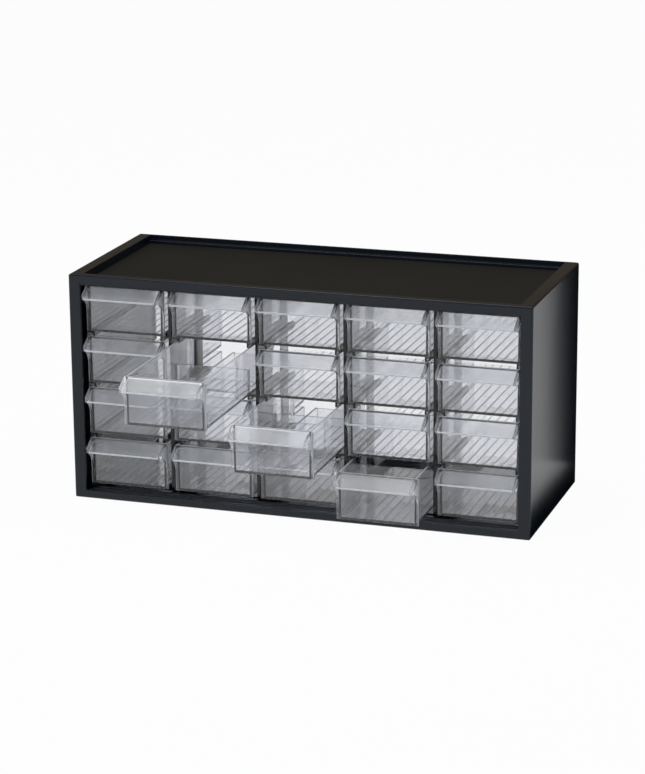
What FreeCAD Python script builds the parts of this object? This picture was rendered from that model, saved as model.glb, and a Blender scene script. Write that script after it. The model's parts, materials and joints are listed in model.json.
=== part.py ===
import FreeCAD, Part
import math
import os

# Parts bin cabinet: a black moulded casing with an open back and a tray in its top, four guide
# lattices and two half lattices inside it, and twenty clear drawers in five columns and four rows.
# X runs across the front, Y from the front to the back and Z up. The origin is the middle of the
# resting face. The drawers slide out along -Y. Every length is in millimetres.

# Casing
casing_width = 445.0
casing_depth = 180.0
casing_height = 218.0
casing_edge_radius = 2.2
casing_wall = 2.6
floor_wall = 2.6
overrun = 5.0

# Front frame and the lip round the open back
stile_width = 11.5
rail_bottom = 8.5
rail_top = 8.6
rail_edge_radius = 2.0
frame_wall = 3.0
back_stile_width = 13.5
back_sill = 8.5
back_wall = 2.6

# Sill behind the bottom rail of the front frame: a low deck with two stiffening ribs
sill_deck = 5.4
sill_depth = 22.0
sill_rib_wall = 1.6
sill_rib_pitch = 6.5
sill_rib_height = 2.4

# Tray in the top
tray_depth = 8.0
tray_floor_wall = 2.8
tray_side_rim = 13.0
tray_front_rim = 7.0
tray_back_rim = 3.0
tray_ledge_width = 3.5
tray_ledge_depth = 5.0
tray_corner_radius = 3.5
rim_skin = 2.4

# Grid of drawers
columns = 5
rows = 4
grid_side_margin = 8.75
grid_head = 7.4
first_runner = 11.8

# Guide lattices between the columns
lattice_setback = 16.0
lattice_depth = 82.0
web_thickness = 3.0
rail_reach = 9.8
rail_thickness = 2.0
hook_thickness = 1.8
hook_drop = 3.5
window_start = 37.0
window_end = 66.0
window_foot_margin = 5.0
window_head_margin = 11.0
window_corner = 5.0
half_web_thickness = 2.2
half_flange_wall = 2.4
seat_clearance = 0.15

# Drawers
panel_setback = 12.0
panel_gap = 8.0
panel_lap = 1.75
panel_thickness = 2.2
drawer_tail_gap = 6.5
drawer_flare = 0.5
drawer_corner_radius = 4.0
drawer_wall = 1.6
drawer_floor = 2.0
runner_clearance = 0.3
panel_headroom = 4.95
side_headroom = 4.55
back_headroom = 6.1
floor_rib_margin = 6.0
floor_rib_width = 1.0
floor_rib_height = 0.5
floor_rib_count = 8

# Lip pull across the top of each drawer's panel
pull_reach = 15.0
pull_drop = 9.3
pull_thickness = 1.7
pull_cheek = 2.0
pull_cheek_drop = 12.0
pull_plan_radius = 5.0
pull_hollow_corner = 2.5
pull_bend_share = 0.34

# Small plain plate raised on the front of a panel, near its left edge
plate_width = 15.5
plate_height = 8.4
plate_rise = 0.4
plate_foot = 21.2
plate_side_margin = 1.25

# Cross dividers, which stand in a pair of slot ribs on the side walls
divider_thickness = 1.2
divider_height = 22.0
divider_corner_radius = 4.0
divider_clearance = 0.25
slot_rib_width = 1.2
slot_rib_reach = 1.2

# How far the open drawers are pulled out in the rest pose, and how far behind the panel's front
# the dividers stand
upper_pull = 121.0
middle_pull = 79.0
lower_pull = 36.0
upper_divider_setback = 121.5
middle_divider_setback = 110.5

# The drawers that stand open, hold a divider or bear a plate, by row from the top and column from
# the left
open_drawers = {(2, 2): upper_pull, (3, 3): middle_pull, (4, 4): lower_pull}
divided_drawers = {(2, 2): upper_divider_setback, (3, 3): middle_divider_setback}
plated_drawers = [(3, 3)]

# Share of an edge's reach that has to lie along a direction for the edge to run that way
long_edge_share = 0.9

# Sizes and places worked out from the ones above
opening_width = casing_width - 2 * stile_width
back_opening_width = casing_width - 2 * back_stile_width
column_pitch = (casing_width - 2 * grid_side_margin) / columns
row_pitch = (casing_height - first_runner - grid_head) / rows
panel_width = column_pitch - panel_gap
drawer_top_width = panel_width - 2 * panel_lap
drawer_bottom_width = drawer_top_width - 2 * drawer_flare
drawer_length = casing_depth - panel_setback - drawer_tail_gap
panel_rise = row_pitch - panel_headroom
side_rise = row_pitch - side_headroom
back_rise = row_pitch - back_headroom
floor_rib_room = drawer_bottom_width - 2 * (drawer_wall + floor_rib_margin)
floor_rib_pitch = floor_rib_room / (floor_rib_count - 1)
front_face = -casing_depth / 2
back_face = casing_depth / 2
side_face = casing_width / 2
tray_floor = casing_height - tray_depth
ceiling = tray_floor - tray_floor_wall
lattice_front = front_face + lattice_setback
lattice_back = lattice_front + lattice_depth
hook_foot_rise = row_pitch - rail_thickness - hook_drop
quarter_turn = 90
origin = FreeCAD.Vector(0, 0, 0)
along_x = FreeCAD.Vector(1, 0, 0)
along_y = FreeCAD.Vector(0, 1, 0)
along_z = FreeCAD.Vector(0, 0, 1)


def block(x_low, x_high, y_low, y_high, z_low, z_high):
    """A plain block between two corners."""
    corner = FreeCAD.Vector(x_low, y_low, z_low)
    return Part.makeBox(x_high - x_low, y_high - y_low, z_high - z_low, corner)


def rounded_outline(half_width, low, high, radii):
    """A closed outline, symmetric about the first axis, whose low and high corners may be round.

    It lies in the XY plane: the first coordinate is X and the second is Y. radii holds the low
    corners' radius and the high corners' radius, and zero leaves a corner sharp.
    """
    low_radius, high_radius = radii
    corners = [
        (half_width, low, low_radius, (0, 1), (-1, 0)),
        (half_width, high, high_radius, (-1, 0), (0, -1)),
        (-half_width, high, high_radius, (0, -1), (1, 0)),
        (-half_width, low, low_radius, (1, 0), (0, 1)),
    ]
    bend = 1 - math.sqrt(0.5)
    stations = []
    for x, y, radius, leaving, arriving in corners:
        start = FreeCAD.Vector(x + arriving[0] * radius, y + arriving[1] * radius, 0)
        end = FreeCAD.Vector(x + leaving[0] * radius, y + leaving[1] * radius, 0)
        inwards = radius * bend
        middle = FreeCAD.Vector(
            x + (arriving[0] + leaving[0]) * inwards,
            y + (arriving[1] + leaving[1]) * inwards,
            0,
        )
        stations.append((start, middle, end, radius))
    edges = []
    for index, (start, middle, end, radius) in enumerate(stations):
        if radius > 0:
            edges.append(Part.Arc(start, middle, end).toShape())
        following = stations[(index + 1) % len(stations)][0]
        edges.append(Part.LineSegment(end, following).toShape())
    return Part.Wire(edges)


def upright_prism(outline, z_low, z_high):
    """An outline in the XY plane raised into a solid between two heights."""
    face = Part.Face(outline)
    face.translate(along_z * z_low)
    return face.extrude(along_z * (z_high - z_low))


def long_edges(shape, direction, low, high):
    """The edges that run mainly along a direction and have their middle between two corners."""
    found = []
    for edge in shape.Edges:
        bounds = edge.BoundBox
        spans = FreeCAD.Vector(bounds.XLength, bounds.YLength, bounds.ZLength)
        along = spans.dot(direction)
        middle = bounds.Center
        inside = all(low[axis] < middle[axis] < high[axis] for axis in range(3))
        if inside and along > spans.Length * long_edge_share:
            found.append(edge)
    return found


def casing_body():
    """The outer block with every edge rounded: what three rounded prisms have in common."""
    radii = (casing_edge_radius, casing_edge_radius)
    plan = rounded_outline(side_face, front_face, back_face, radii)
    body = upright_prism(plan, 0, casing_height)
    front = Part.Face(rounded_outline(side_face, 0, casing_height, radii))
    front.rotate(origin, along_x, quarter_turn)
    front.translate(along_y * front_face)
    body = body.common(front.extrude(along_y * casing_depth))
    side = Part.Face(rounded_outline(casing_depth / 2, 0, casing_height, radii))
    side.rotate(origin, along_x, quarter_turn)
    side.rotate(origin, along_z, quarter_turn)
    side.translate(along_x * -side_face)
    return body.common(side.extrude(along_x * casing_width))


def casing_inside():
    """The room behind the front frame, between the walls, the floor and the tray's underside."""
    half = side_face - casing_wall
    return block(
        -half, half, front_face + frame_wall, back_face - back_wall, floor_wall, ceiling
    )


def casing_front_opening():
    """The opening of the front frame."""
    half = opening_width / 2
    top = casing_height - rail_top
    return block(
        -half, half, front_face - overrun, front_face + frame_wall, rail_bottom, top
    )


def casing_back_opening():
    """The open back, inside its narrow lip."""
    half = back_opening_width / 2
    return block(
        -half, half, back_face - back_wall - overrun, back_face + overrun, back_sill, ceiling
    )


def casing_tray():
    """The tray's hollow: a wide upper step and, in front of the ledge at the back, the floor."""
    half = side_face - tray_side_rim
    front = front_face + tray_front_rim
    back = back_face - tray_back_rim
    radii = (tray_corner_radius, tray_corner_radius)
    top = casing_height + overrun
    upper = upright_prism(
        rounded_outline(half, front, back, radii), casing_height - tray_ledge_depth, top
    )
    lower = upright_prism(
        rounded_outline(half, front, back - tray_ledge_width, radii), tray_floor, top
    )
    return upper.fuse(lower)


def casing_rim_hollow(side):
    """The hollow under one side rim of the tray, open downwards into the casing."""
    outer = side * (side_face - casing_wall)
    inner = side * (side_face - tray_side_rim + rim_skin)
    return block(
        min(inner, outer),
        max(inner, outer),
        front_face + frame_wall,
        back_face - back_wall,
        ceiling - overrun,
        casing_height - rim_skin,
    )


def casing_sill():
    """The low deck behind the bottom rail, with its stiffening ribs."""
    half = opening_width / 2
    start = front_face + frame_wall
    pieces = [block(-half, half, start, front_face + sill_depth, floor_wall, sill_deck)]
    for index in (1, 2):
        y = start + index * sill_rib_pitch
        pieces.append(
            block(-half, half, y, y + sill_rib_wall, sill_deck, sill_deck + sill_rib_height)
        )
    return pieces


def ceiling_hooks():
    """The strips under the ceiling that hook over the side walls of the top row."""
    pieces = []
    low = first_runner + (rows - 1) * row_pitch + hook_foot_rise
    for boundary in range(columns + 1):
        centre = (boundary - columns / 2) * column_pitch
        for side in (-1, 1):
            past_the_end = abs(centre + side * column_pitch / 2) > columns * column_pitch / 2
            if past_the_end:
                continue
            outer = centre + side * rail_reach
            inner = centre + side * (rail_reach - hook_thickness)
            pieces.append(
                block(
                    min(inner, outer), max(inner, outer), lattice_front, lattice_back, low, ceiling
                )
            )
    return pieces


def eased_bottom_rail(shape):
    """The casing with the upper front edge of the front frame's bottom rail rounded off."""
    margin = rail_edge_radius / 2
    low = FreeCAD.Vector(-margin, front_face - margin, rail_bottom - margin)
    high = FreeCAD.Vector(margin, front_face + margin, rail_bottom + margin)
    return shape.makeFillet(rail_edge_radius, long_edges(shape, along_x, low, high))


def casing():
    """The moulded casing: walls, front frame, open back, tray, sill and ceiling hooks."""
    shape = casing_body().cut(casing_inside())
    shape = shape.cut(casing_front_opening()).cut(casing_back_opening()).cut(casing_tray())
    shape = eased_bottom_rail(shape)
    for side in (-1, 1):
        shape = shape.cut(casing_rim_hollow(side))
    for piece in casing_sill() + ceiling_hooks():
        shape = shape.fuse(piece)
    return shape.removeSplitter()


def lattice_window(runner, x_low, x_high):
    """The window through a web between one row's rail and the next, with its head corners eased."""
    low = runner + window_foot_margin
    high = runner + row_pitch - rail_thickness - window_head_margin
    front = lattice_front + window_start
    back = lattice_front + window_end
    window = block(x_low, x_high, front, back, low, high)
    head_low = FreeCAD.Vector(x_low, front - overrun, (low + high) / 2)
    head_high = FreeCAD.Vector(x_high, back + overrun, high + overrun)
    return window.makeChamfer(window_corner, long_edges(window, along_x, head_low, head_high))


def rail_arm(runner, side):
    """One arm of a rail, from the web out, with its hook turned down over the row below."""
    reach = side * rail_reach
    low = runner - rail_thickness
    arm = block(min(0, reach), max(0, reach), lattice_front, lattice_back, low, runner)
    if runner < first_runner + row_pitch / 2:
        return arm
    root = side * (rail_reach - hook_thickness)
    hook_foot = low - hook_drop
    hook = block(
        min(root, reach), max(root, reach), lattice_front, lattice_back, hook_foot, runner
    )
    return arm.fuse(hook)


def lattice_web(x_low, x_high):
    """An upright web from the casing's floor to its ceiling, clear of the sill, with its windows."""
    sill_top = sill_deck + seat_clearance
    web = block(
        x_low, x_high, lattice_front, lattice_back, sill_top, ceiling - seat_clearance
    )
    foot = block(
        x_low,
        x_high,
        front_face + sill_depth + seat_clearance,
        lattice_back,
        floor_wall + seat_clearance,
        sill_top + overrun,
    )
    web = web.fuse(foot)
    notch = front_face + frame_wall + 2 * sill_rib_pitch
    rib_room = block(
        x_low,
        x_high,
        notch - seat_clearance,
        notch + sill_rib_wall + seat_clearance,
        sill_top,
        sill_deck + sill_rib_height + seat_clearance,
    )
    web = web.cut(rib_room)
    for row in range(rows):
        runner = first_runner + row * row_pitch
        web = web.cut(lattice_window(runner, x_low, x_high))
    return web


def partition(boundary):
    """A guide lattice between two columns: a windowed web with a T-shaped rail under each row."""
    half = web_thickness / 2
    shape = lattice_web(-half, half)
    for row in range(rows):
        runner = first_runner + row * row_pitch
        for side in (-1, 1):
            shape = shape.fuse(rail_arm(runner, side))
    shape = shape.removeSplitter()
    shape.translate(along_x * ((boundary - columns / 2) * column_pitch))
    return shape


def side_guide(side):
    """A half lattice on one inner side wall: a web on two upright flanges, with one-armed rails."""
    centre = columns * column_pitch / 2
    flange_reach = side_face - casing_wall - centre - seat_clearance
    low = floor_wall + seat_clearance
    high = ceiling - seat_clearance
    shape = lattice_web(-half_web_thickness, 0)
    first_flange = front_face + sill_depth + seat_clearance
    last_flange = lattice_back - half_flange_wall
    for start in (first_flange, last_flange):
        flange = block(0, flange_reach, start, start + half_flange_wall, low, high)
        shape = shape.fuse(flange)
    for row in range(rows):
        shape = shape.fuse(rail_arm(first_runner + row * row_pitch, -1))
    shape = shape.removeSplitter()
    shape.translate(along_x * centre)
    if side < 0:
        shape = shape.mirror(origin, along_x)
    return shape


def drawer_place(row, column):
    """Where a drawer's own origin lies: on its runner, at the front of its panel, when it rests."""
    x = (column - (columns + 1) / 2) * column_pitch
    z = first_runner + (rows - row) * row_pitch
    pull = open_drawers.get((row, column), 0)
    return FreeCAD.Vector(x, front_face + panel_setback - pull, z)


def drafted_block(half_low, y_low, y_high, spread, z_low, z_high):
    """An upright block whose sides lean outwards by a spread from its foot to its top."""
    shape = Part.makeWedge(
        -half_low, z_low, y_low, y_low, -half_low - spread,
        half_low, z_high, y_high, y_high + spread, half_low + spread,
    )
    shape.rotate(origin, along_x, quarter_turn)
    return shape.mirror(origin, along_y)


def drawer_tub():
    """The drafted tub: its outer form less its hollow, with eased corners and a lower wall behind."""
    half = drawer_bottom_width / 2
    spread = drawer_flare
    low = runner_clearance
    outer = drafted_block(half, 0, drawer_length - spread, spread, low, side_rise)
    back_half = FreeCAD.Vector(-panel_width, drawer_length / 2, 0)
    far_corner = FreeCAD.Vector(panel_width, drawer_length, side_rise)
    outer = outer.makeFillet(
        drawer_corner_radius, long_edges(outer, along_z, back_half, far_corner)
    )
    inside = drafted_block(
        half - drawer_wall,
        drawer_wall,
        drawer_length - spread - drawer_wall,
        spread,
        low + drawer_floor,
        side_rise + overrun,
    )
    inside = inside.makeChamfer(
        drawer_corner_radius - drawer_wall, long_edges(inside, along_z, back_half, far_corner)
    )
    tub = outer.cut(inside)
    lowered = block(
        -panel_width / 2,
        panel_width / 2,
        drawer_length - drawer_corner_radius,
        drawer_length + overrun,
        back_rise,
        side_rise + overrun,
    )
    return tub.cut(lowered)


def drawer_floor_ribs():
    """Fine lengthwise ribs on the tub's floor, from wall to wall."""
    top = runner_clearance + drawer_floor
    ribs = []
    for index in range(floor_rib_count):
        x = (index - (floor_rib_count - 1) / 2) * floor_rib_pitch
        ribs.append(
            block(
                x - floor_rib_width / 2,
                x + floor_rib_width / 2,
                drawer_wall / 2,
                drawer_length - drawer_wall / 2,
                top - drawer_floor / 2,
                top + floor_rib_height,
            )
        )
    return ribs


def drawer_panel():
    """The flat front panel, a little wider than the tub."""
    half = panel_width / 2
    return block(-half, half, 0, panel_thickness, runner_clearance, panel_rise)


def pull_side_outline():
    """The pull seen from the side: the sloping top, its front edge and the curved foot of a cheek."""
    top = FreeCAD.Vector(0, 0, panel_rise)
    root = FreeCAD.Vector(0, panel_thickness / 2, panel_rise)
    front_top = FreeCAD.Vector(0, -pull_reach, panel_rise - pull_drop)
    front_foot = FreeCAD.Vector(0, -pull_reach, panel_rise - pull_drop - pull_thickness)
    panel_foot_z = panel_rise - pull_drop - pull_thickness - pull_cheek_drop
    panel_foot = FreeCAD.Vector(0, 0, panel_foot_z)
    root_foot = FreeCAD.Vector(0, panel_thickness / 2, panel_foot_z)
    middle = FreeCAD.Vector(
        0,
        -pull_reach * pull_bend_share,
        panel_foot_z + pull_cheek_drop * (1 - pull_bend_share),
    )
    edges = [
        Part.LineSegment(root, top).toShape(),
        Part.LineSegment(top, front_top).toShape(),
        Part.LineSegment(front_top, front_foot).toShape(),
        Part.Arc(front_foot, middle, panel_foot).toShape(),
        Part.LineSegment(panel_foot, root_foot).toShape(),
        Part.LineSegment(root_foot, root).toShape(),
    ]
    return Part.Wire(edges)


def drawer_pull():
    """The lip pull: a sloping hood with closed cheeks, hollow below for the fingertips."""
    half = panel_width / 2
    face = Part.Face(pull_side_outline())
    face.translate(along_x * -half)
    hood = face.extrude(along_x * panel_width)
    plan = rounded_outline(half, -pull_reach, panel_thickness, (pull_plan_radius, 0))
    hood = hood.common(upright_prism(plan, 0, side_rise))
    slope = math.degrees(math.atan2(pull_drop, pull_reach))
    hollow_half = half - pull_cheek
    hollow = block(-hollow_half, hollow_half, -2 * pull_reach, 0, -side_rise, 0)
    low = FreeCAD.Vector(-panel_width, -2 * pull_reach, -pull_hollow_corner)
    high = FreeCAD.Vector(panel_width, 0, pull_hollow_corner)
    hollow = hollow.makeChamfer(pull_hollow_corner, long_edges(hollow, along_y, low, high))
    hollow.rotate(origin, along_x, slope)
    hollow.translate(along_z * (panel_rise - pull_thickness))
    return hood.cut(hollow)


def panel_plate():
    """The plain plate, sunk into the panel's front."""
    left = plate_side_margin - panel_width / 2
    return block(
        left,
        left + plate_width,
        -plate_rise,
        panel_thickness / 2,
        plate_foot,
        plate_foot + plate_height,
    )


def slot_ribs(middle):
    """A pair of upright ribs on each side wall, with a divider's thickness between them."""
    low = runner_clearance + drawer_floor / 2
    high = runner_clearance + drawer_floor + divider_height
    offset = divider_thickness / 2 + divider_clearance
    pieces = []
    for side in (-1, 1):
        outer = side * (drawer_bottom_width - drawer_wall) / 2
        inner = side * (drawer_bottom_width / 2 - drawer_wall - slot_rib_reach)
        for start in (middle - offset - slot_rib_width, middle + offset):
            pieces.append(
                block(min(inner, outer), max(inner, outer), start, start + slot_rib_width, low, high)
            )
    return pieces


def drawer(row, column):
    """One clear drawer: tub, ribs, panel and pull, with what only some drawers bear."""
    shape = drawer_tub()
    pieces = drawer_floor_ribs() + [drawer_panel(), drawer_pull()]
    if (row, column) in divided_drawers:
        pieces += slot_ribs(divided_drawers[(row, column)])
    if (row, column) in plated_drawers:
        pieces.append(panel_plate())
    shape = shape.fuse(pieces).removeSplitter()
    shape.translate(drawer_place(row, column))
    return shape


def divider(row, column):
    """A clear cross divider, standing on the floor ribs between its slot ribs."""
    half = drawer_bottom_width / 2 - drawer_wall - divider_clearance
    low = runner_clearance + drawer_floor + floor_rib_height + divider_clearance
    high = low + divider_height
    face = Part.Face(rounded_outline(half, low, high, (0, divider_corner_radius)))
    face.rotate(origin, along_x, quarter_turn)
    middle = divided_drawers[(row, column)]
    face.translate(along_y * (middle - divider_thickness / 2))
    plate = face.extrude(along_y * divider_thickness)
    plate.translate(drawer_place(row, column))
    return plate


def all_nodes():
    """Every node's name with its shape, in the order they are written."""
    nodes = {"casing": casing()}
    for boundary in range(1, columns):
        nodes[f"partition_{boundary}"] = partition(boundary)
    nodes["guide_left"] = side_guide(-1)
    nodes["guide_right"] = side_guide(1)
    for row in range(1, rows + 1):
        for column in range(1, columns + 1):
            nodes[f"drawer_r{row}_c{column}"] = drawer(row, column)
    for row, column in divided_drawers:
        nodes[f"divider_r{row}_c{column}"] = divider(row, column)
    return nodes


def write_nodes():
    """Writes one file for each node."""
    os.makedirs("parts", exist_ok=True)
    for name, shape in all_nodes().items():
        if not shape.isValid():
            print("not valid:", name)
        print(name, "solids", len(shape.Solids), "volume", round(shape.Volume))
        shape.exportStep(os.path.join("parts", name + ".step"))


write_nodes()
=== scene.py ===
"""Looks of a parts bin cabinet: a black moulded casing with twenty clear sliding drawers.

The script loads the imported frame, puts a softened and finished moulding in the place of each of
its nodes, and sets up a plain studio round it. Every length is in metres, except that the camera's
lens and sensor are in millimetres.
"""

import json
import logging
import math
from dataclasses import dataclass, field
from enum import Enum

import bmesh
import bpy
from mathutils import Color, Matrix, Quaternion, Vector


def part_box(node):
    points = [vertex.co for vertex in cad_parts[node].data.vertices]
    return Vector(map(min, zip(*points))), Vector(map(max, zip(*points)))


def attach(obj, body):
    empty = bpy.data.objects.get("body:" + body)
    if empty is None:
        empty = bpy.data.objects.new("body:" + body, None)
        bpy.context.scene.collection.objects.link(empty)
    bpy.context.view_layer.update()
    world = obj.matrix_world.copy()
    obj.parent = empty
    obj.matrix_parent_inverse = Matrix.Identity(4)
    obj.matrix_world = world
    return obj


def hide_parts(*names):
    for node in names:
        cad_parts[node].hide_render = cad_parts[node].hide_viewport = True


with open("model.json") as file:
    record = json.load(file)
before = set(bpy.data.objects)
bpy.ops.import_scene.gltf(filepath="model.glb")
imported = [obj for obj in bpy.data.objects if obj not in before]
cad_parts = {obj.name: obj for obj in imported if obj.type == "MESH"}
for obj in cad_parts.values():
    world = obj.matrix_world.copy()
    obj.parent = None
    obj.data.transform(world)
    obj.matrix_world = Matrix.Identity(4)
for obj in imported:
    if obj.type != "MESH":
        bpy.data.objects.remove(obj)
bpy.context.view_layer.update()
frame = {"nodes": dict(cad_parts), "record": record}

Rgba = tuple[float, float, float, float]
Axes = tuple[float, float, float]

LOG = logging.getLogger("parts_bin_cabinet")
MM = 0.001
WHITE = (1.0, 1.0, 1.0, 1.0)
NEUTRAL_LIGHT = (1.0, 1.0, 1.0)
COOL_LIGHT = (0.86, 0.93, 1.0)

# A face looks along an axis when this share of its direction or more lies on the axis.
FACING_SHARE = 0.9

# Nearly all of a noise pattern lies between these two values.
PATTERN_LOW = 0.3
PATTERN_HIGH = 0.7


class Slot(Enum):
    """The record's material slots."""

    CASING = "casing_plastic"
    CLEAR = "clear_plastic"


def srgb(red: int, green: int, blue: int) -> Rgba:
    """Turns a colour as a screen shows it into the linear colour that a shader takes.

    Args:
        red: Red, from 0 to 255.
        green: Green, from 0 to 255.
        blue: Blue, from 0 to 255.

    Returns:
        The linear colour with full alpha.
    """
    linear = Color((red / 255, green / 255, blue / 255)).from_srgb_to_scene_linear()
    return (*linear, 1.0)


class NodeBoard:
    """A node tree with short calls that add nodes to it and join them."""

    def __init__(self, tree: bpy.types.NodeTree, output: str) -> None:
        """Empties a node tree and gives it its output node.

        Args:
            tree: The node tree.
            output: The output node's type.
        """
        self.tree = tree
        self.tree.nodes.clear()
        self.output = self.add(output)

    def add(self, kind: str, **settings: object) -> bpy.types.Node:
        """Adds a node and sets its properties.

        Args:
            kind: The node's type.
            **settings: Properties of the node and their values.

        Returns:
            The new node.
        """
        node = self.tree.nodes.new(kind)
        for name, value in settings.items():
            setattr(node, name, value)
        return node

    def join(self, source: bpy.types.NodeSocket, target: bpy.types.NodeSocket) -> None:
        """Links one socket to another."""
        self.tree.links.new(source, target)

    def show(self, shade: bpy.types.NodeSocket) -> None:
        """Makes a shader the one that is seen."""
        self.join(shade, self.output.inputs["Surface"])

    def mixed(
        self,
        share: bpy.types.NodeSocket,
        first: bpy.types.NodeSocket,
        second: bpy.types.NodeSocket,
    ) -> bpy.types.NodeSocket:
        """Mixes two shaders.

        Args:
            share: The second shader's share.
            first: The first shader.
            second: The second shader.

        Returns:
            The mixed shader's socket.
        """
        mix = self.add("ShaderNodeMixShader")
        self.join(share, mix.inputs["Fac"])
        self.join(first, mix.inputs[1])
        self.join(second, mix.inputs[2])
        return mix.outputs["Shader"]

    def larger(
        self, first: bpy.types.NodeSocket, second: bpy.types.NodeSocket
    ) -> bpy.types.NodeSocket:
        """Picks the larger of two values.

        Args:
            first: The first value.
            second: The second value.

        Returns:
            The larger value's socket.
        """
        pick = self.add("ShaderNodeMath", operation="MAXIMUM")
        self.join(first, pick.inputs[0])
        self.join(second, pick.inputs[1])
        return pick.outputs["Value"]

    def scaled(self, value: bpy.types.NodeSocket, factor: float) -> bpy.types.NodeSocket:
        """Multiplies a value.

        Args:
            value: The value.
            factor: What it is multiplied by.

        Returns:
            The product's socket.
        """
        product = self.add("ShaderNodeMath", operation="MULTIPLY")
        self.join(value, product.inputs[0])
        product.inputs[1].default_value = factor
        return product.outputs["Value"]


class MaterialBoard(NodeBoard):
    """The node tree of a new material, with patterns that are fixed to the piece."""

    def __init__(self, name: str) -> None:
        """Makes a new material.

        Args:
            name: The material's name.
        """
        self.material = bpy.data.materials.new(name)
        self.material.use_nodes = True
        super().__init__(self.material.node_tree, "ShaderNodeOutputMaterial")

    def noise(
        self, scale: float, detail: float, stretch: Axes = (1.0, 1.0, 1.0)
    ) -> bpy.types.NodeSocket:
        """Adds a noise pattern fixed to the piece.

        Args:
            scale: How many grains lie in a metre.
            detail: How much finer noise lies on the grains.
            stretch: How much the pattern is packed along each axis.

        Returns:
            The socket with the pattern's value.
        """
        place = self.add("ShaderNodeTexCoord")
        mapping = self.add("ShaderNodeMapping")
        mapping.inputs["Scale"].default_value = stretch
        self.join(place.outputs["Object"], mapping.inputs["Vector"])
        noise = self.add("ShaderNodeTexNoise")
        noise.inputs["Scale"].default_value = scale
        noise.inputs["Detail"].default_value = detail
        self.join(mapping.outputs["Vector"], noise.inputs["Vector"])
        return noise.outputs["Fac"]

    def ranged(self, value: bpy.types.NodeSocket, low: float, high: float) -> bpy.types.NodeSocket:
        """Spreads a pattern's middle part between two values.

        Args:
            value: The pattern.
            low: The value where the pattern is low.
            high: The value where the pattern is high.

        Returns:
            The socket with the spread value.
        """
        spread = self.add("ShaderNodeMapRange")
        spread.inputs["From Min"].default_value = PATTERN_LOW
        spread.inputs["From Max"].default_value = PATTERN_HIGH
        spread.inputs["To Min"].default_value = low
        spread.inputs["To Max"].default_value = high
        self.join(value, spread.inputs["Value"])
        return spread.outputs["Result"]

    def tinted(self, value: bpy.types.NodeSocket, low: Rgba, high: Rgba) -> bpy.types.NodeSocket:
        """Blends two colours by a pattern.

        Args:
            value: The pattern.
            low: The colour where the pattern is low.
            high: The colour where the pattern is high.

        Returns:
            The socket with the colour.
        """
        ramp = self.add("ShaderNodeValToRGB")
        stops = ramp.color_ramp.elements
        stops[0].position = PATTERN_LOW
        stops[0].color = low
        stops[1].position = PATTERN_HIGH
        stops[1].color = high
        self.join(value, ramp.inputs["Fac"])
        return ramp.outputs["Color"]

    def bumped(
        self, height: bpy.types.NodeSocket, strength: float, depth: float
    ) -> bpy.types.NodeSocket:
        """Turns a pattern into a relief.

        Args:
            height: The pattern.
            strength: How much of the relief shows.
            depth: The relief's depth.

        Returns:
            The socket with the surface's direction.
        """
        bump = self.add("ShaderNodeBump")
        bump.inputs["Strength"].default_value = strength
        bump.inputs["Distance"].default_value = depth
        self.join(height, bump.inputs["Height"])
        return bump.outputs["Normal"]

    def painted(self, colour: Rgba) -> bpy.types.NodeSocket:
        """Adds a dull coat of paint.

        Args:
            colour: The paint's colour.

        Returns:
            The paint's socket.
        """
        paint = self.add("ShaderNodeBsdfDiffuse")
        paint.inputs["Color"].default_value = colour
        return paint.outputs["BSDF"]


@dataclass(frozen=True)
class BlackPlastic:
    """Black moulded plastic with a fine spark-eroded grain and faint flow marks."""

    name: str
    dark: Rgba
    light: Rgba
    smooth: float
    rough: float
    sheen_level: float
    cloud_scale: float = 9.0
    cloud_detail: float = 3.0
    grain_scale: float = 1500.0
    grain_detail: float = 2.0
    grain_strength: float = 0.35
    grain_depth: float = 0.03 * MM

    def material(self) -> bpy.types.Material:
        """Builds the material's nodes.

        Returns:
            The material.
        """
        board = MaterialBoard(self.name)
        shader = board.add("ShaderNodeBsdfPrincipled")
        cloud = board.noise(self.cloud_scale, self.cloud_detail)
        board.join(board.tinted(cloud, self.dark, self.light), shader.inputs["Base Color"])
        board.join(board.ranged(cloud, self.smooth, self.rough), shader.inputs["Roughness"])
        grain = board.noise(self.grain_scale, self.grain_detail)
        relief = board.bumped(grain, self.grain_strength, self.grain_depth)
        board.join(relief, shader.inputs["Normal"])
        shader.inputs["Specular IOR Level"].default_value = self.sheen_level
        board.show(shader.outputs["BSDF"])
        return board.material


@dataclass(frozen=True)
class ClearPlastic:
    """Clear, faintly grey moulded plastic. Lamps shine through it, dimmed by its lamp tint."""

    name: str
    tint: Rgba
    lamp_tint: Rgba
    smooth: float
    rough: float
    clearness: float
    refraction: float = 1.5
    streak: Axes = (1.0, 0.4, 1.0)
    flow_scale: float = 30.0
    flow_detail: float = 1.0
    flow_strength: float = 0.1
    flow_depth: float = 0.05 * MM

    def material(self) -> bpy.types.Material:
        """Builds the material's nodes.

        Returns:
            The material.
        """
        board = MaterialBoard(self.name)
        shader = board.add("ShaderNodeBsdfPrincipled")
        shader.inputs["Base Color"].default_value = self.tint
        shader.inputs["Transmission Weight"].default_value = self.clearness
        shader.inputs["IOR"].default_value = self.refraction
        flow = board.noise(self.flow_scale, self.flow_detail, self.streak)
        board.join(board.ranged(flow, self.smooth, self.rough), shader.inputs["Roughness"])
        relief = board.bumped(flow, self.flow_strength, self.flow_depth)
        board.join(relief, shader.inputs["Normal"])
        clear = board.add("ShaderNodeBsdfTransparent")
        clear.inputs["Color"].default_value = self.lamp_tint
        lamp = board.add("ShaderNodeLightPath").outputs["Is Shadow Ray"]
        board.show(board.mixed(lamp, shader.outputs["BSDF"], clear.outputs["BSDF"]))
        return board.material


Finish = BlackPlastic | ClearPlastic

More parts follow.
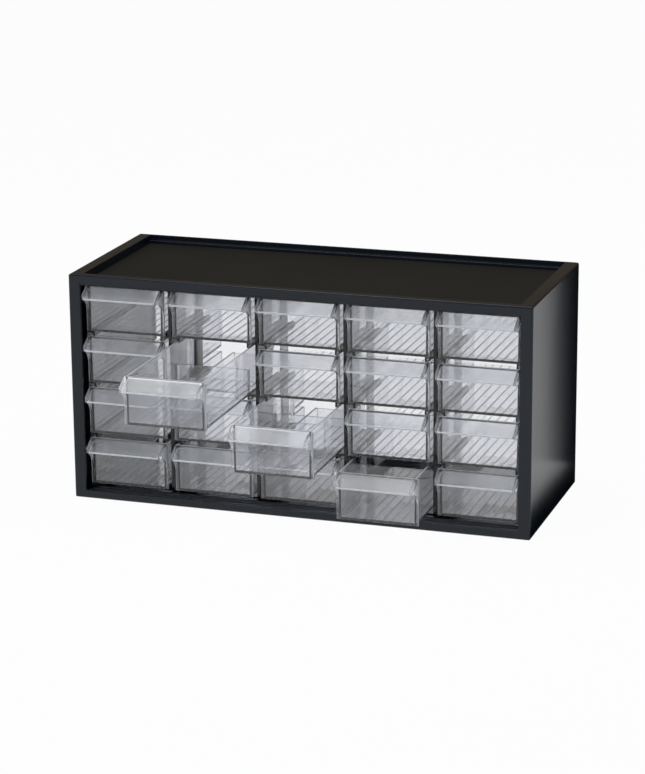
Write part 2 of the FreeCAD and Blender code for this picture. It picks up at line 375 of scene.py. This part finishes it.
SATIN_BLACK = BlackPlastic(
    name="black_satin_plastic",
    dark=srgb(9, 19, 29),
    light=srgb(12, 22, 33),
    smooth=0.21,
    rough=0.24,
    sheen_level=0.36,
)
MATT_BLACK = BlackPlastic(
    name="black_matt_tray_floor",
    dark=srgb(32, 31, 27),
    light=srgb(37, 36, 32),
    smooth=0.6,
    rough=0.7,
    sheen_level=0.2,
)
GLOSS_BLACK = BlackPlastic(
    name="black_gloss_lattice",
    dark=srgb(10, 11, 13),
    light=srgb(14, 15, 17),
    smooth=0.08,
    rough=0.14,
    sheen_level=0.45,
)
CLEAR_WALL = ClearPlastic(
    name="clear_drawer_plastic",
    tint=(0.895, 0.9, 0.92, 1.0),
    lamp_tint=(0.86, 0.87, 0.89, 1.0),
    smooth=0.0,
    rough=0.03,
    clearness=0.972,
)
FROSTED_PULL = ClearPlastic(
    name="frosted_lip_plastic",
    tint=(0.97, 0.975, 0.99, 1.0),
    lamp_tint=(0.84, 0.85, 0.88, 1.0),
    smooth=0.06,
    rough=0.16,
    clearness=0.94,
    streak=(0.2, 3.0, 3.0),
)
# Milky, paler plastic on the drawers' free edges: a painted highlight that stands in for the light
# those edges catch.
MILKY_HIGHLIGHT_RIM = ClearPlastic(
    name="milky_edge_plastic",
    tint=(0.93, 0.94, 0.96, 1.0),
    lamp_tint=(0.84, 0.85, 0.88, 1.0),
    smooth=0.3,
    rough=0.4,
    clearness=0.3,
)
HAZY_RIB = ClearPlastic(
    name="floor_rib_plastic",
    tint=(0.97, 0.975, 0.99, 1.0),
    lamp_tint=(0.86, 0.87, 0.89, 1.0),
    smooth=0.1,
    rough=0.2,
    clearness=0.82,
)


@dataclass
class Moulding:
    """A moulded piece that stands for one node: the node's form with its sharp edges softened.

    Where inner_edges_soft is off, only the edges that point outwards are softened. The casing and
    the lattices need that, because spikes would grow where their rounded edges end at inner ones.
    """

    node: str
    body: str
    slot: Slot
    finishes: tuple[Finish, ...]
    inner_edges_soft: bool = True
    edge_softness: float = 0.25 * MM
    edge_steps: int = 2
    sharp_angle: float = math.radians(28)
    flat_angle: float = math.radians(0.5)
    flat_weight: int = 100
    weld: float = 0.002 * MM

    def form(self) -> bmesh.types.BMesh:
        """Copies the node's form, welds it and joins its flat faces.

        Returns:
            The form, ready to be worked on.
        """
        shape = bmesh.new()
        shape.from_mesh(frame["nodes"][self.node].data)
        bmesh.ops.remove_doubles(shape, verts=shape.verts[:], dist=self.weld)
        bmesh.ops.dissolve_limit(
            shape,
            angle_limit=self.flat_angle,
            verts=shape.verts[:],
            edges=shape.edges[:],
            use_dissolve_boundaries=False,
        )
        return shape

    def reshape(self, shape: bmesh.types.BMesh) -> None:
        """Works on the form before its edges are softened. Most pieces need nothing more."""

    def dress(self, shape: bmesh.types.BMesh) -> None:
        """Gives parts of the form their own finishes. The others keep the first one."""

    def mark_edges(self, shape: bmesh.types.BMesh) -> None:
        """Marks the sharp edges to be softened and keeps the others crisp.

        Args:
            shape: The form.
        """
        softness = shape.edges.layers.float.new("bevel_weight_edge")
        for edge in shape.edges:
            if len(edge.link_faces) == 2 and edge.calc_face_angle(0.0) > self.sharp_angle:
                is_soft = self.inner_edges_soft or edge.is_convex
                edge[softness] = float(is_soft)
                edge.smooth = is_soft

    def soften(self, piece: bpy.types.Object) -> None:
        """Rounds the marked edges and keeps the faces between them flat.

        Args:
            piece: The piece.
        """
        rounding = piece.modifiers.new("soft_edges", "BEVEL")
        rounding.width = self.edge_softness
        rounding.segments = self.edge_steps
        rounding.limit_method = "WEIGHT"
        rounding.use_clamp_overlap = False
        flatten = piece.modifiers.new("flat_faces", "WEIGHTED_NORMAL")
        flatten.weight = self.flat_weight
        flatten.keep_sharp = True

    def materials(self) -> list[bpy.types.Material]:
        """Gives the materials of the piece's finishes, each of which is built only once.

        Returns:
            The materials, in the finishes' order.
        """
        made = bpy.data.materials
        return [made.get(finish.name) or finish.material() for finish in self.finishes]

    def build(self) -> bpy.types.Object:
        """Makes the piece, dresses it and lets it ride on its body.

        Returns:
            The finished piece.
        """
        name = self.node + "_moulding"
        shape = self.form()
        self.reshape(shape)
        self.dress(shape)
        for face in shape.faces:
            face.smooth = True
        self.mark_edges(shape)
        mesh = bpy.data.meshes.new(name)
        shape.to_mesh(mesh)
        shape.free()
        for material in self.materials():
            mesh.materials.append(material)
        piece = bpy.data.objects.new(name, mesh)
        bpy.context.scene.collection.objects.link(piece)
        self.soften(piece)
        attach(piece, self.body)
        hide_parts(self.node)
        return piece


@dataclass
class Casing(Moulding):
    """The casing, with a matt floor in its top tray."""

    slot: Slot = Slot.CASING
    finishes: tuple[Finish, ...] = (SATIN_BLACK, MATT_BLACK)
    inner_edges_soft: bool = False
    edge_softness: float = 0.5 * MM
    tray_depth: float = 8.0 * MM
    tray_slack: float = 1.5 * MM

    def dress(self, shape: bmesh.types.BMesh) -> None:
        """Gives the tray's floor its matt finish.

        Args:
            shape: The casing's form.
        """
        tray_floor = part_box(self.node)[1].z - self.tray_depth
        for face in shape.faces:
            height = face.calc_center_median().z
            if face.normal.z > FACING_SHARE and abs(height - tray_floor) < self.tray_slack:
                face.material_index = self.finishes.index(MATT_BLACK)


@dataclass
class Lattice(Moulding):
    """A guide lattice, whose windows have round head corners."""

    slot: Slot = Slot.CASING
    finishes: tuple[Finish, ...] = (GLOSS_BLACK,)
    inner_edges_soft: bool = False
    across_share: float = 0.95
    least_turn: float = math.radians(40)
    most_turn: float = math.radians(50)
    head_softness: float = 2.2 * MM
    head_steps: int = 4

    def is_head(self, edge: bmesh.types.BMEdge) -> bool:
        """Tells whether an edge bounds the slanting face in a window's head corner.

        Args:
            edge: The edge.

        Returns:
            True for an edge that lies across the wall and turns by about half a right angle.
        """
        if len(edge.link_faces) != 2:
            return False
        along = edge.verts[1].co - edge.verts[0].co
        lies_across = abs(along.x) >= self.across_share * along.length
        return lies_across and self.least_turn < edge.calc_face_angle(0.0) < self.most_turn

    def reshape(self, shape: bmesh.types.BMesh) -> None:
        """Rounds the head corners of the windows.

        Args:
            shape: The lattice's form.
        """
        bmesh.ops.bevel(
            shape,
            geom=[edge for edge in shape.edges if self.is_head(edge)],
            offset=self.head_softness,
            segments=self.head_steps,
            affect="EDGES",
            profile=0.5,
            material=-1,
            clamp_overlap=True,
        )


@dataclass
class Drawer(Moulding):
    """A clear drawer with a frosted pull, milky free edges whose paleness is a painted highlight,
    and hazy floor ribs.
    """

    slot: Slot = Slot.CLEAR
    finishes: tuple[Finish, ...] = (CLEAR_WALL, FROSTED_PULL, MILKY_HIGHLIGHT_RIM, HAZY_RIB)
    pull_reach: float = 15.0 * MM
    panel_thickness: float = 2.2 * MM
    rim_fall: float = 6.0 * MM
    rib_foot: float = 2.1 * MM
    rib_top: float = 2.6 * MM
    slack: float = 0.1 * MM

    def is_rim(self, face: bmesh.types.BMFace, low: Vector, high: Vector) -> bool:
        """Tells whether a face is a narrow free edge of the tub, the panel or the pull.

        Args:
            face: The face.
            low: The drawer's lower corner.
            high: The drawer's upper corner.

        Returns:
            True for the walls' tops, the panel's edges and the pull's front edge.
        """
        middle = face.calc_center_median()
        panel_front = low.y + self.pull_reach
        panel_back = panel_front + self.panel_thickness
        if middle.y > panel_front - self.slack and face.normal.z > FACING_SHARE:
            return middle.z > high.z - self.rim_fall
        if face.normal.z < -FACING_SHARE and middle.y < panel_back:
            return middle.z < low.z + self.slack
        if abs(face.normal.x) > FACING_SHARE and middle.y < panel_back:
            return min(middle.x - low.x, high.x - middle.x) < self.slack
        return face.normal.y < -FACING_SHARE and middle.y < low.y + self.slack

    def is_pull(self, face: bmesh.types.BMFace, low: Vector) -> bool:
        """Tells whether a face lies in front of the panel, by the drawer's lower corner."""
        return face.calc_center_median().y < low.y + self.pull_reach - self.slack

    def is_rib(self, face: bmesh.types.BMFace, low: Vector) -> bool:
        """Tells whether a face is the crest or a side of a floor rib.

        Args:
            face: The face.
            low: The drawer's lower corner.

        Returns:
            True where the face's highest point lies in the ribs' layer.
        """
        crest = max(vert.co.z for vert in face.verts) - low.z
        return self.rib_foot < crest < self.rib_top

    def dress(self, shape: bmesh.types.BMesh) -> None:
        """Gives the free edges their milky finish, which is a painted highlight, and the pull and
        the floor ribs their own finishes.

        Args:
            shape: The drawer's form.
        """
        low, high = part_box(self.node)
        for face in shape.faces:
            # The free edges get the milky finish, a painted highlight along them.
            if self.is_rim(face, low, high):
                face.material_index = self.finishes.index(MILKY_HIGHLIGHT_RIM)
            elif self.is_pull(face, low):
                face.material_index = self.finishes.index(FROSTED_PULL)
            elif self.is_rib(face, low):
                face.material_index = self.finishes.index(HAZY_RIB)


@dataclass
class Divider(Moulding):
    """A clear cross divider, which stands in a drawer."""

    slot: Slot = Slot.CLEAR
    finishes: tuple[Finish, ...] = (CLEAR_WALL,)


@dataclass
class Cabinet:
    """The whole cabinet: casing, guide lattices, drawers and cross dividers."""

    bodies: dict[str, list[str]]

    def moulding(self, node: str, body: str) -> Moulding:
        """Picks the kind of moulding by the first word of the node's name.

        Args:
            node: The node.
            body: The body that carries it.

        Returns:
            The moulding, which isn't built yet.
        """
        kinds = {
            "casing": Casing,
            "partition": Lattice,
            "guide": Lattice,
            "drawer": Drawer,
            "divider": Divider,
        }
        return kinds[node.split("_")[0]](node, body)

    def build(self) -> list[bpy.types.Object]:
        """Builds every moulding on the body that carries its node.

        Returns:
            The finished pieces.
        """
        pieces = []
        for body, nodes in self.bodies.items():
            for node in nodes:
                pieces.append(self.moulding(node, body).build())
        return pieces


@dataclass(frozen=True)
class Softbox:
    """A rectangular soft light, whose radiance is how bright its face is."""

    name: str
    place: Axes
    size: tuple[float, float]
    radiance: float
    tint: Axes

    def hang(self, aim: Vector) -> None:
        """Hangs the light at its place, with its face towards the cabinet.

        Args:
            aim: The point that the light faces.
        """
        width, height = self.size
        data = bpy.data.lights.new(self.name, "AREA")
        data.shape = "RECTANGLE"
        data.size = width
        data.size_y = height
        data.energy = self.radiance * math.pi * width * height
        data.color = self.tint
        light = bpy.data.objects.new(self.name, data)
        light.location = self.place
        light.rotation_mode = "QUATERNION"
        light.rotation_quaternion = (aim - light.location).to_track_quat("-Z", "Y")
        bpy.context.scene.collection.objects.link(light)


@dataclass
class Studio:
    """The floor, the surround, the soft lights and the camera.

    The camera's place, turn and lens are fitted to the casing's corners in the photograph. The
    overhead light is the main one, the edge light draws thin bright lines along the front edges,
    and the front light is soft.
    """

    aim: Vector = field(default_factory=lambda: Vector((0.0133, -0.0509, 0.1172)))
    azimuth: float = math.radians(18.275)
    elevation: float = math.radians(15.871)
    roll: float = math.radians(-0.455)
    distance: float = 2.56
    lens: float = 128.37
    sensor: float = 36.0
    softboxes: tuple[Softbox, ...] = (
        Softbox(
            name="overhead_light",
            place=(0.0, 0.0, 1.5),
            size=(1.5, 1.2),
            radiance=1.3,
            tint=NEUTRAL_LIGHT,
        ),
        Softbox(
            name="edge_light",
            place=(-0.34, -0.56, 1.5),
            size=(0.5, 0.16),
            radiance=7.0,
            tint=COOL_LIGHT,
        ),
        Softbox(
            name="front_light",
            place=(-0.9, -2.4, 0.9),
            size=(1.6, 1.2),
            radiance=1.6,
            tint=COOL_LIGHT,
        ),
    )
    floor_size: float = 14.0
    floor_paint: Rgba = (0.92, 0.92, 0.92, 1.0)
    seen_floor_share: float = 0.96
    mirrored_floor_share: float = 0.8
    surround_tint: Rgba = (0.9, 0.95, 1.0, 1.0)
    surround_strength: float = 0.45
    mirrored_tint: Rgba = (0.14, 0.11, 0.075, 1.0)
    flag_reach: float = 43.0 * MM
    # Width of the black floor strip beside the right side: a painted shadow that stands in for the
    # casing's contact shadow, which only mirrored rays see.
    shadow_strip_width: float = 27.0 * MM
    flag_gap: float = 60.0 * MM
    flag_wall: float = 0.5 * MM
    flag_and_shadow_paint: Rgba = (0.01, 0.01, 0.01, 1.0)
    bounces: int = 28
    clear_layers: int = 40

    def camera(self) -> None:
        """Sets the camera at the photograph's viewing angle."""
        data = bpy.data.cameras.new("studio_camera")
        data.lens = self.lens
        data.sensor_width = self.sensor
        camera = bpy.data.objects.new("studio_camera", data)
        back = Vector(
            (
                math.sin(self.azimuth) * math.cos(self.elevation),
                -math.cos(self.azimuth) * math.cos(self.elevation),
                math.sin(self.elevation),
            )
        )
        camera.location = self.aim + back * self.distance
        camera.rotation_mode = "QUATERNION"
        turn = Quaternion((0, 0, 1), self.roll)
        camera.rotation_quaternion = (-back).to_track_quat("-Z", "Y") @ turn
        bpy.context.scene.collection.objects.link(camera)
        bpy.context.scene.camera = camera

    def surround(self) -> None:
        """Puts an even surround behind everything: white where it is seen, dark where mirrored."""
        world = bpy.data.worlds.new("studio_surround")
        world.use_nodes = True
        board = NodeBoard(world.node_tree, "ShaderNodeOutputWorld")
        shades = []
        for tint, strength in (
            (self.surround_tint, self.surround_strength),
            (self.mirrored_tint, 1.0),
            (WHITE, 1.0),
        ):
            shade = board.add("ShaderNodeBackground")
            shade.inputs["Color"].default_value = tint
            shade.inputs["Strength"].default_value = strength
            shades.append(shade.outputs["Background"])
        lit, mirrored, seen = shades
        ray = board.add("ShaderNodeLightPath").outputs
        not_seen = board.mixed(ray["Is Glossy Ray"], lit, mirrored)
        is_seen = board.larger(ray["Is Camera Ray"], ray["Is Transmission Ray"])
        board.show(board.mixed(is_seen, not_seen, seen))
        bpy.context.scene.world = world

    def floor(self) -> None:
        """Lays a white floor that keeps a soft shadow."""
        shape = bmesh.new()
        bmesh.ops.create_grid(shape, x_segments=1, y_segments=1, size=self.floor_size / 2)
        board = MaterialBoard("studio_floor_white")
        glow = board.add("ShaderNodeEmission")
        glow.inputs["Strength"].default_value = 1.0
        ray = board.add("ShaderNodeLightPath").outputs
        mirrored = board.scaled(ray["Is Glossy Ray"], self.mirrored_floor_share)
        is_seen = board.larger(ray["Is Camera Ray"], ray["Is Transmission Ray"])
        share = board.larger(mirrored, board.scaled(is_seen, self.seen_floor_share))
        board.show(board.mixed(share, board.painted(self.floor_paint), glow.outputs["Emission"]))
        self.stand("studio_floor", shape, board.material)

    def flag(self) -> None:
        """Stands a black flag behind the right side, which only mirrored rays see.

        It darkens the rear of that side, as the unlit part of a studio does. Its floor strip is a
        painted shadow: it darkens the foot of that side in place of the casing's contact shadow on
        the floor.
        """
        low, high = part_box("casing")
        shape = bmesh.new()
        for place, size in (
            (
                Vector((high.x + self.flag_reach / 2, high.y + self.flag_gap, high.z / 2)),
                Vector((self.flag_reach, self.flag_wall, high.z)),
            ),
            # The floor strip beside the foot of the side: a painted shadow, in place of the
            # casing's contact shadow on the floor.
            (
                Vector((high.x + self.shadow_strip_width / 2, self.flag_gap / 2, self.flag_wall)),
                Vector((self.shadow_strip_width, high.y - low.y + self.flag_gap, self.flag_wall)),
            ),
        ):
            panel = bmesh.ops.create_cube(shape, size=1.0)["verts"]
            bmesh.ops.scale(shape, verts=panel, vec=size)
            bmesh.ops.translate(shape, verts=panel, vec=place)
        board = MaterialBoard("studio_flag_black")
        board.show(board.painted(self.flag_and_shadow_paint))
        flag = self.stand("studio_flag", shape, board.material)
        flag.visible_camera = False
        flag.visible_diffuse = False
        flag.visible_transmission = False
        flag.visible_shadow = False

    def stand(
        self, name: str, shape: bmesh.types.BMesh, material: bpy.types.Material
    ) -> bpy.types.Object:
        """Puts a piece of the studio in the scene.

        Args:
            name: The piece's name.
            shape: Its form, which is used up.
            material: Its finish.

        Returns:
            The piece.
        """
        mesh = bpy.data.meshes.new(name)
        shape.to_mesh(mesh)
        shape.free()
        mesh.materials.append(material)
        piece = bpy.data.objects.new(name, mesh)
        bpy.context.scene.collection.objects.link(piece)
        return piece

    def set_up(self) -> None:
        """Sets up the whole studio and how far its light is followed."""
        self.surround()
        self.floor()
        self.flag()
        for softbox in self.softboxes:
            softbox.hang(self.aim)
        self.camera()
        bpy.context.scene.view_settings.view_transform = "Standard"
        paths = bpy.context.scene.cycles
        paths.max_bounces = self.bounces
        paths.transmission_bounces = self.bounces
        paths.transparent_max_bounces = self.clear_layers


def main() -> None:
    """Builds the cabinet and the studio, and reports each piece."""
    logging.basicConfig(level=logging.INFO, format="%(message)s")
    pieces = Cabinet(frame["record"]["behaviour"]["bodies"]).build()
    for piece in pieces:
        LOG.info("%s: %d faces before softening", piece.name, len(piece.data.polygons))
    LOG.info("pieces: %d", len(pieces))
    Studio().set_up()


if __name__ == "__main__":
    main()
